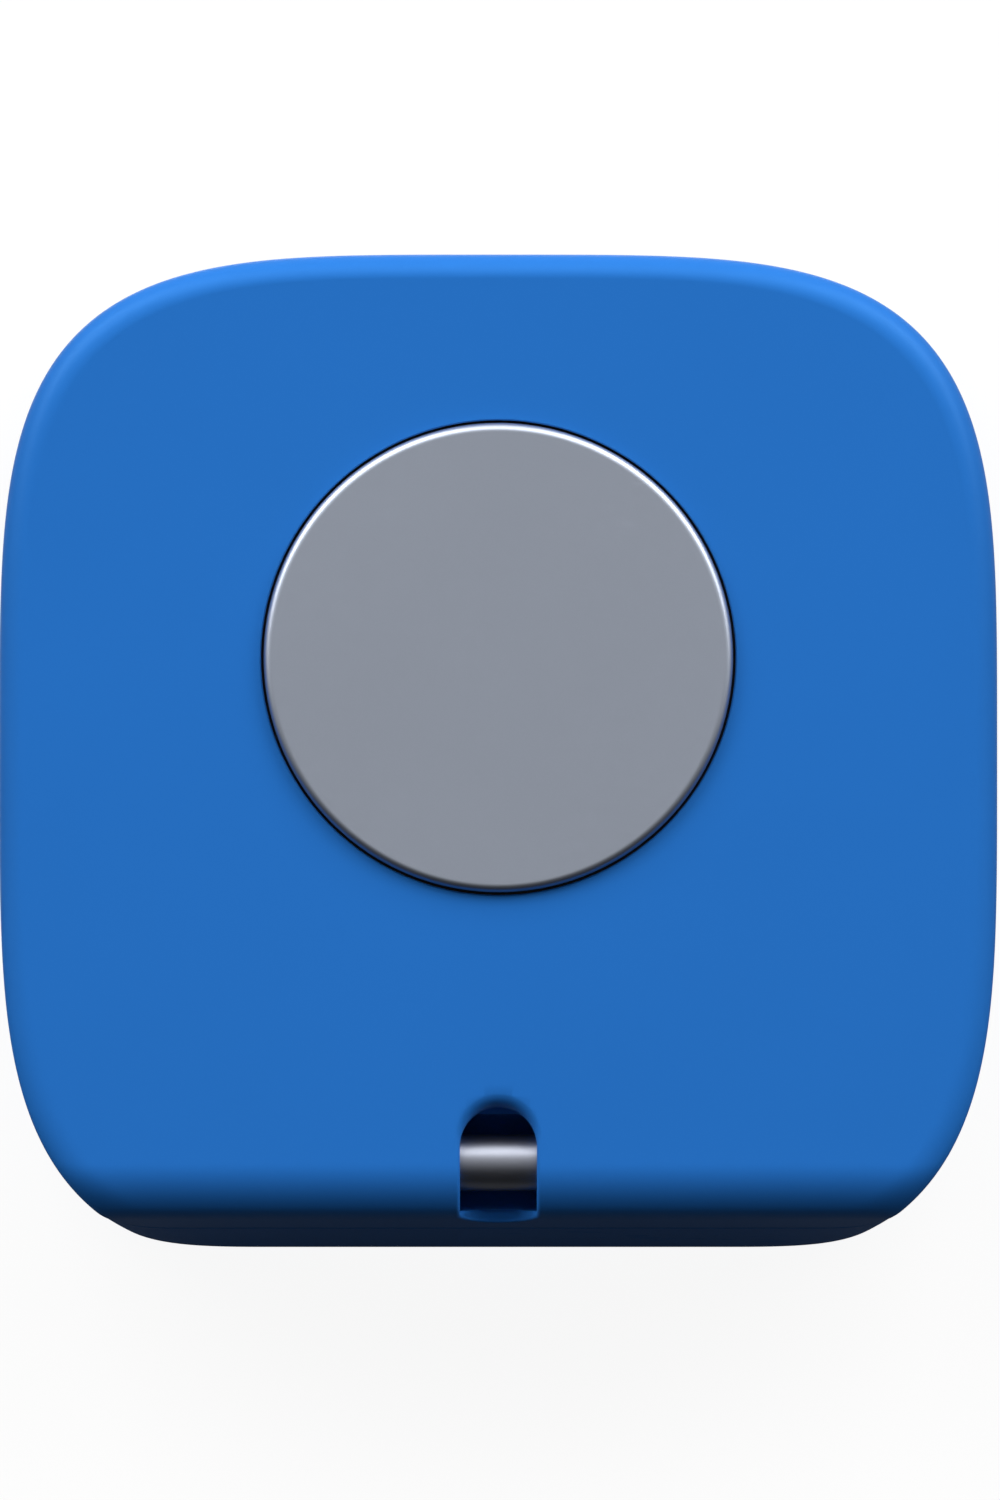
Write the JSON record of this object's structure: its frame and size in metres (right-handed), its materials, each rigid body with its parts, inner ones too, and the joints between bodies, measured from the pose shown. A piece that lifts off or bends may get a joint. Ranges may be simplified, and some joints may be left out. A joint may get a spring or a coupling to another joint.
{
  "type": "bluetooth tracker tag",
  "caption": "Squircle tracker tag with a metal push button, a lanyard bar let into its lower edge, a coin cell behind a coin-turn door, a sounder and a radio board.",
  "frame": {"origin": "middle of the bounding box on the rear face, at its base", "axes": "+Z out of the front face along the button's axis, +X across the case, -Y towards the lanyard bar"},
  "size_m": [0.037, 0.0368, 0.0104],
  "materials": {
    "front_plastic": "moulded blue shell, fine satin texture",
    "rear_plastic": "moulded blue shell, fine satin texture",
    "door_plastic": "moulded blue door, fine satin texture",
    "cap_aluminium": "bead-blasted grey anodised disc with a polished edge",
    "bar_steel": "polished steel",
    "seal_rubber": "black moulded rubber",
    "film": "adhesive film",
    "carrier_plastic": "black moulded plastic",
    "silicone": "translucent grey silicone",
    "spring_steel": "spring steel",
    "board_laminate": "green solder mask",
    "screw_steel": "zinc-plated steel",
    "chip_epoxy": "black moulding compound",
    "crystal_can": "plated metal can",
    "antenna_ceramic": "white ceramic",
    "capacitor_body": "moulded tantalum capacitor",
    "passive_ceramic": "brown ceramic",
    "sounder_brass": "thin brass disc",
    "contact_brass": "gold-flashed spring strip",
    "cell_steel": "nickel-plated steel",
    "cell_electrode": "pressed electrodes"
  },
  "bodies": {
    "case": {"front_shell": "front_plastic", "rear_shell": "rear_plastic", "case_gasket": "seal_rubber", "lanyard_bar": "bar_steel", "button_retainer": "spring_steel", "button_diaphragm": "silicone", "snap_dome": "spring_steel", "main_board": "board_laminate", "board_screws": "screw_steel", "radio_chip": "chip_epoxy", "main_crystal": "crystal_can", "clock_crystal": "crystal_can", "chip_antenna": "antenna_ceramic", "buffer_capacitor": "capacitor_body", "board_passives": "passive_ceramic", "sounder_case": "carrier_plastic", "sounder_diaphragm": "sounder_brass", "positive_contacts": "contact_brass", "negative_contact": "contact_brass", "cell_can": "cell_steel", "cell_cap": "cell_steel", "cell_gasket": "carrier_plastic", "cell_core": "cell_electrode"},
    "button": {"button_cap": "cap_aluminium", "cap_film": "film", "button_carrier": "carrier_plastic"},
    "door": {"battery_door": "door_plastic", "door_seal": "seal_rubber"}
  },
  "joints": [
    {"name": "button_press", "type": "slide", "parent": "case", "child": "button", "axis": [0, 0, -1], "range_m": [0, 0.0003], "stiffness_N_per_m": 2500, "deforming": ["snap_dome", "button_diaphragm"]},
    {"name": "door_turn", "type": "hinge", "parent": "case", "child": "door", "pos_m": [0, 0.0035, 0.0008], "axis": [0, 0, 1], "range_deg": [0, 40]}
  ]
}
